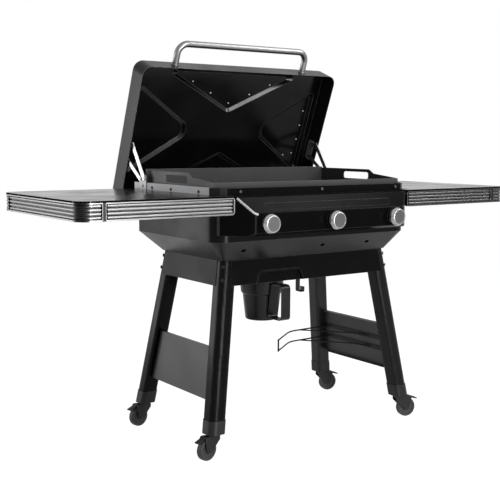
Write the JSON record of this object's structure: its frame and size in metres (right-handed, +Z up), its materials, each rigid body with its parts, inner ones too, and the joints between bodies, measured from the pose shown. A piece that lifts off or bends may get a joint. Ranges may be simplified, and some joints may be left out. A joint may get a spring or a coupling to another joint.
{
  "type": "outdoor gas griddle station",
  "caption": "Wheeled outdoor gas griddle with a hinged lid on a four-bar linkage, lift-off cooking plate, control knobs, side shelves and a slide-out grease bucket.",
  "frame": {"origin": "on the floor under the centre of the whole station with the lid open", "axes": "+X to the user's right along the shelves, +Y away from the user, +Z up"},
  "size_m": [1.912, 0.8399, 1.4524],
  "materials": {
    "frame_paint": "satin",
    "panel_paint": "satin",
    "box_paint": "satin",
    "fascia_paint": "satin",
    "rail_paint": "satin",
    "shelf_paint": "gloss",
    "lid_paint": "satin",
    "liner_paint": "satin",
    "trim_silver": "brushed",
    "handle_steel": "brushed",
    "knob_silver": "satin",
    "dark_bezel": "gloss",
    "zinc": "bright zinc plate",
    "tube_steel": "mill",
    "bucket_steel": "satin",
    "wire_black": "satin",
    "black_bolt": "satin",
    "black_plastic": "matte",
    "wheel_rubber": "matte",
    "griddle_steel": "seasoned",
    "brass_part": "satin"
  },
  "bodies": {
    "station": {"leg_front_left": "frame_paint", "leg_front_right": "frame_paint", "leg_rear_left": "frame_paint", "leg_rear_right": "frame_paint", "foot_caps": "black_plastic", "leg_sockets": "box_paint", "leg_bolts": "black_bolt", "front_apron": "panel_paint", "side_rear_aprons": "panel_paint", "cart_panels": "panel_paint", "lower_tub": "box_paint", "body_shell": "box_paint", "side_rails": "rail_paint", "rail_screws": "zinc", "front_band": "box_paint", "corner_blocks": "black_plastic", "control_fascia": "fascia_paint", "knob_bezels": "dark_bezel", "gas_manifold": "tube_steel", "burners": "tube_steel", "grease_chute": "tube_steel", "bucket_slides": "tube_steel", "tank_hook": "wire_black", "tank_guard": "wire_black", "caster_stems": "zinc", "shelf_top_left": "shelf_paint", "shelf_trim_left": "trim_silver", "shelf_top_right": "shelf_paint", "shelf_trim_right": "trim_silver", "shelf_brackets": "box_paint", "hinge_brackets": "zinc"},
    "griddle": {"griddle_plate": "griddle_steel"},
    "bucket": {"grease_bucket": "bucket_steel", "bucket_handle": "bucket_steel"},
    "long_arms": {"link_long_left": "zinc", "link_long_right": "zinc"},
    "lid": {"lid_shell": "lid_paint", "lid_panel": "liner_paint", "lid_handle": "handle_steel", "lid_hinge_plates": "zinc"},
    "short_arms": {"link_short_left": "zinc", "link_short_right": "zinc"},
    "stem_left": {"valve_stem_left": "brass_part"},
    "dial_left": {"knob_left": "knob_silver"},
    "stem_middle": {"valve_stem_middle": "brass_part"},
    "dial_middle": {"knob_middle": "knob_silver"},
    "stem_right": {"valve_stem_right": "brass_part"},
    "dial_right": {"knob_right": "knob_silver"},
    "fork_front_left": {"caster_fork_front_left": "black_plastic"},
    "wheel_front_left": {"caster_wheel_front_left": "wheel_rubber"},
    "brake_front_left": {"caster_brake_front_left": "black_plastic"},
    "fork_front_right": {"caster_fork_front_right": "black_plastic"},
    "wheel_front_right": {"caster_wheel_front_right": "wheel_rubber"},
    "brake_front_right": {"caster_brake_front_right": "black_plastic"},
    "fork_rear_left": {"caster_fork_rear_left": "black_plastic"},
    "wheel_rear_left": {"caster_wheel_rear_left": "wheel_rubber"},
    "brake_rear_left": {"caster_brake_rear_left": "black_plastic"},
    "fork_rear_right": {"caster_fork_rear_right": "black_plastic"},
    "wheel_rear_right": {"caster_wheel_rear_right": "wheel_rubber"},
    "brake_rear_right": {"caster_brake_rear_right": "black_plastic"}
  },
  "joints": [
    {"name": "griddle_lift", "type": "slide", "parent": "station", "child": "griddle", "axis": [0, 0, 1], "range_m": [0, 0.02]},
    {"name": "bucket_slide", "type": "slide", "parent": "station", "child": "bucket", "axis": [0, -1, 0], "range_m": [0, 0.15]},
    {"name": "lid_arms", "type": "hinge", "parent": "station", "child": "long_arms", "pos_m": [0, 0.17651, 0.942], "axis": [1, 0, 0], "range_deg": [0, 126.47]},
    {"name": "lid_turn", "type": "hinge", "parent": "long_arms", "child": "lid", "pos_m": [0, 0.29357, 1.06502], "axis": [1, 0, 0], "range_deg": [-57.52, 0]},
    {"name": "rear_arms", "type": "hinge", "parent": "station", "child": "short_arms", "pos_m": [0, 0.1993, 0.94], "axis": [1, 0, 0], "range_deg": [0, 131.2]},
    {"name": "stem_push_left", "type": "slide", "parent": "station", "child": "stem_left", "axis": [0, 1, 0], "range_m": [0, 0.003], "stiffness_N_per_m": 900},
    {"name": "knob_turn_left", "type": "hinge", "parent": "stem_left", "child": "dial_left", "pos_m": [-0.288, -0.396, 0.808], "axis": [0, -1, 0], "range_deg": [0, 225]},
    {"name": "stem_push_middle", "type": "slide", "parent": "station", "child": "stem_middle", "axis": [0, 1, 0], "range_m": [0, 0.003], "stiffness_N_per_m": 900},
    {"name": "knob_turn_middle", "type": "hinge", "parent": "stem_middle", "child": "dial_middle", "pos_m": [0, -0.396, 0.808], "axis": [0, -1, 0], "range_deg": [0, 225]},
    {"name": "stem_push_right", "type": "slide", "parent": "station", "child": "stem_right", "axis": [0, 1, 0], "range_m": [0, 0.003], "stiffness_N_per_m": 900},
    {"name": "knob_turn_right", "type": "hinge", "parent": "stem_right", "child": "dial_right", "pos_m": [0.288, -0.396, 0.808], "axis": [0, -1, 0], "range_deg": [0, 225]},
    {"name": "swivel_front_left", "type": "hinge", "parent": "station", "child": "fork_front_left", "pos_m": [-0.437, -0.285, 0.08], "axis": [0, 0, 1], "continuous": true},
    {"name": "roll_front_left", "type": "hinge", "parent": "fork_front_left", "child": "wheel_front_left", "pos_m": [-0.46851, -0.29056, 0.0375], "axis": [0.1736, -0.9848, 0], "continuous": true},
    {"name": "brake_press_front_left", "type": "hinge", "parent": "fork_front_left", "child": "brake_front_left", "pos_m": [-0.47935, -0.29247, 0.079], "axis": [0.1736, -0.9848, 0], "range_deg": [0, 4]},
    {"name": "swivel_front_right", "type": "hinge", "parent": "station", "child": "fork_front_right", "pos_m": [0.437, -0.285, 0.08], "axis": [0, 0, 1], "continuous": true},
    {"name": "roll_front_right", "type": "hinge", "parent": "fork_front_right", "child": "wheel_front_right", "pos_m": [0.46791, -0.29328, 0.0375], "axis": [0.2588, 0.9659, 0], "continuous": true},
    {"name": "brake_press_front_right", "type": "hinge", "parent": "fork_front_right", "child": "brake_front_right", "pos_m": [0.47853, -0.29613, 0.079], "axis": [0.2588, 0.9659, 0], "range_deg": [0, 4]},
    {"name": "swivel_rear_left", "type": "hinge", "parent": "station", "child": "fork_rear_left", "pos_m": [-0.437, 0.195, 0.08], "axis": [0, 0, 1], "continuous": true},
    {"name": "roll_rear_left", "type": "hinge", "parent": "fork_rear_left", "child": "wheel_rear_left", "pos_m": [-0.46851, 0.18944, 0.0375], "axis": [0.1736, -0.9848, 0], "continuous": true},
    {"name": "brake_press_rear_left", "type": "hinge", "parent": "fork_rear_left", "child": "brake_rear_left", "pos_m": [-0.47935, 0.18753, 0.079], "axis": [0.1736, -0.9848, 0], "range_deg": [0, 4]},
    {"name": "swivel_rear_right", "type": "hinge", "parent": "station", "child": "fork_rear_right", "pos_m": [0.437, 0.195, 0.08], "axis": [0, 0, 1], "continuous": true},
    {"name": "roll_rear_right", "type": "hinge", "parent": "fork_rear_right", "child": "wheel_rear_right", "pos_m": [0.46791, 0.18672, 0.0375], "axis": [0.2588, 0.9659, 0], "continuous": true},
    {"name": "brake_press_rear_right", "type": "hinge", "parent": "fork_rear_right", "child": "brake_rear_right", "pos_m": [0.47853, 0.18387, 0.079], "axis": [0.2588, 0.9659, 0], "range_deg": [0, 4]}
  ],
  "couplings": [
    {"joint": "lid_turn", "follows": "lid_arms", "ratio": -0.4544},
    {"joint": "rear_arms", "follows": "lid_arms", "ratio": 1.037}
  ]
}
